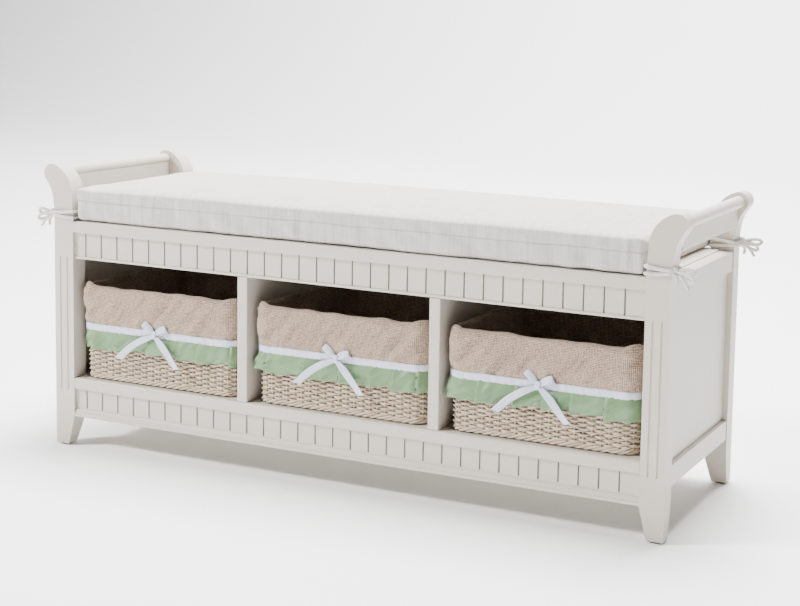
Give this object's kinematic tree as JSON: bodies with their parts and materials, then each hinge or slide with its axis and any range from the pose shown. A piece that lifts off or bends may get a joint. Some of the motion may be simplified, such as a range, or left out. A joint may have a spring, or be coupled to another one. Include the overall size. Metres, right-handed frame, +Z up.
{
  "type": "entryway bench",
  "caption": "Painted entryway bench with scrolled arms, a tied seat cushion and cubbies holding lined wicker baskets that slide out.",
  "frame": {"origin": "middle of the bench in plan, on the floor", "axes": "+X along the bench to the right as seen from the front, +Y from front to back, +Z up"},
  "size_m": [1.284, 0.3834, 0.527],
  "materials": {
    "white_paint": "satin warm-white paint on wood",
    "bare_wood": "unpainted softwood",
    "screw_steel": "zinc plated",
    "glide_nylon": "moulded nylon",
    "cushion_linen": "slubby off-white linen and cotton weave",
    "wicker": "natural woven willow",
    "liner_cloth": "small-check taupe tweed",
    "satin_ribbon": "white satin",
    "ruffle_cloth": "sage green satin"
  },
  "bodies": {
    "bench": {"post_front_left": "white_paint", "post_front_right": "white_paint", "post_rear_left": "white_paint", "post_rear_right": "white_paint", "end_rail_top_left": "white_paint", "end_rail_top_right": "white_paint", "end_rail_low_left": "white_paint", "end_rail_low_right": "white_paint", "end_panel_left": "white_paint", "end_panel_right": "white_paint", "arm_rail_left": "white_paint", "arm_rail_right": "white_paint", "arm_panel_left": "white_paint", "arm_panel_right": "white_paint", "seat_moulding": "white_paint", "seat_apron": "white_paint", "apron_lip": "white_paint", "shelf_nosing": "white_paint", "shelf_apron": "white_paint", "base_moulding": "white_paint", "seat_board": "white_paint", "shelf_board": "white_paint", "divider_left": "white_paint", "divider_right": "white_paint", "back_rail_top": "white_paint", "back_rail_low": "white_paint", "back_panel": "white_paint", "seat_cleats": "bare_wood", "corner_blocks": "bare_wood", "corner_screws": "screw_steel", "rail_dowels": "bare_wood", "foot_glides": "glide_nylon", "cushion": "cushion_linen", "tie_front_left": "cushion_linen", "tie_front_right": "cushion_linen", "tie_rear_left": "cushion_linen", "tie_rear_right": "cushion_linen"},
    "basket_body_left": {"basket_left": "wicker", "liner_left": "liner_cloth", "ribbon_left": "satin_ribbon", "bow_left": "satin_ribbon", "ruffle_left": "ruffle_cloth"},
    "basket_body_middle": {"basket_middle": "wicker", "liner_middle": "liner_cloth", "ribbon_middle": "satin_ribbon", "bow_middle": "satin_ribbon", "ruffle_middle": "ruffle_cloth"},
    "basket_body_right": {"basket_right": "wicker", "liner_right": "liner_cloth", "ribbon_right": "satin_ribbon", "bow_right": "satin_ribbon", "ruffle_right": "ruffle_cloth"}
  },
  "joints": [
    {"name": "basket_slide_left", "type": "slide", "parent": "bench", "child": "basket_body_left", "axis": [0, -1, 0], "range_m": [0, 0.4]},
    {"name": "basket_slide_middle", "type": "slide", "parent": "bench", "child": "basket_body_middle", "axis": [0, -1, 0], "range_m": [0, 0.4]},
    {"name": "basket_slide_right", "type": "slide", "parent": "bench", "child": "basket_body_right", "axis": [0, -1, 0], "range_m": [0, 0.4]}
  ]
}
